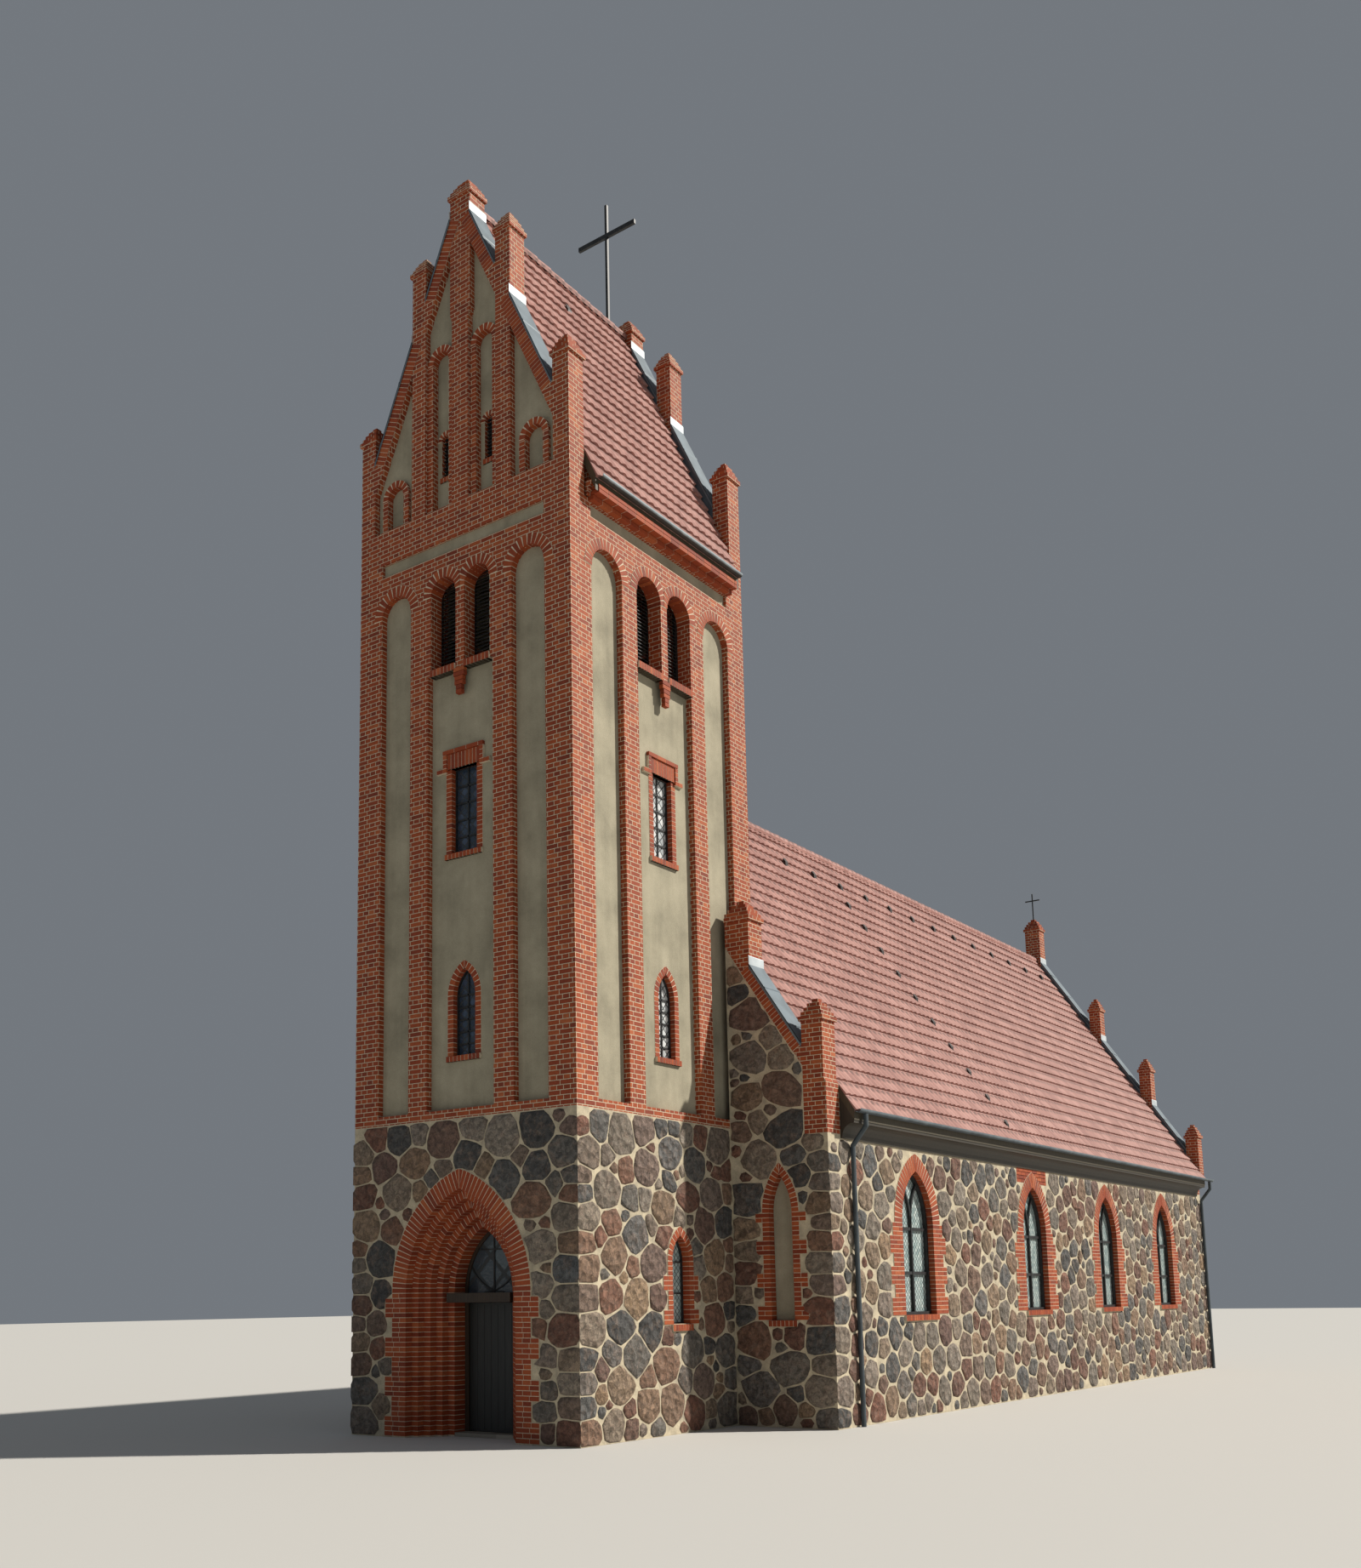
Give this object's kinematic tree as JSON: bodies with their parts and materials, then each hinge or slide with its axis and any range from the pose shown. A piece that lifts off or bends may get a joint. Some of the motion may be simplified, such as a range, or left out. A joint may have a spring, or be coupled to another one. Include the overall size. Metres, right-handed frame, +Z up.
{
  "type": "village church",
  "caption": "Small church of fieldstone and brick with a square west tower, stepped pinnacles, louvred belfry, splayed pointed portal with a hinged door, and a gabled nave with pointed windows",
  "frame": {"origin": "on the ground, in the middle of the plan's bounding box", "axes": "+Z is up, -Y is the way the portal and the tower's front face look, +X is the right-hand side seen from the front, and the nave's ridge runs along Y"},
  "size_m": [9.2206, 26.485, 23.8196],
  "materials": {
    "fieldstone": "rough, split",
    "brick": "matt",
    "tiles": "matt",
    "timber": "painted",
    "louvre": "painted black",
    "door": "painted",
    "glass": "clear",
    "zinc": "weathered sheet",
    "iron": "painted",
    "flagstone": "honed"
  },
  "bodies": {
    "church": {"tower_base_south": "fieldstone", "tower_base_north": "fieldstone", "tower_base_east": "fieldstone", "tower_base_west_left": "fieldstone", "tower_base_west_right": "fieldstone", "tower_base_west_over": "fieldstone", "base_window_south": "glass", "base_window_north": "glass", "portal_jamb_left": "brick", "portal_jamb_right": "brick", "portal_arch": "brick", "door_frame": "timber", "tympanum_glass": "glass", "tower_west_wall": "brick", "tower_east_wall": "brick", "tower_south_wall": "brick", "tower_north_wall": "brick", "lancet_window_west": "glass", "lancet_window_south": "glass", "lancet_window_north": "glass", "oblong_window_west": "glass", "oblong_window_south": "glass", "oblong_window_north": "glass", "belfry_louvres_west": "louvre", "belfry_louvres_east": "louvre", "belfry_louvres_south": "louvre", "belfry_louvres_north": "louvre", "tower_roof_south": "tiles", "tower_roof_north": "tiles", "tower_gutter_south": "zinc", "tower_gutter_north": "zinc", "tower_cross": "iron", "nave_west_wall_south": "fieldstone", "nave_west_wall_north": "fieldstone", "nave_south_wall": "fieldstone", "nave_north_wall": "fieldstone", "nave_east_wall": "fieldstone", "nave_window_south_1": "glass", "nave_window_south_2": "glass", "nave_window_south_3": "glass", "nave_window_south_4": "glass", "nave_window_north_1": "glass", "nave_window_north_2": "glass", "nave_window_north_3": "glass", "nave_window_north_4": "glass", "nave_roof_south": "tiles", "nave_roof_north": "tiles", "nave_eaves_box_south": "timber", "nave_eaves_box_north": "timber", "nave_rainwater_south": "zinc", "nave_rainwater_north": "zinc", "nave_cross": "iron", "floor": "flagstone"},
    "door": {"door_leaf": "door", "door_handle_outside": "iron", "door_handle_inside": "iron"}
  },
  "joints": [
    {"name": "door_hinge", "type": "hinge", "parent": "church", "child": "door", "pos_m": [-0.5277, -12.2985, 0], "axis": [0, 0, 1], "range_deg": [0, 95]}
  ]
}
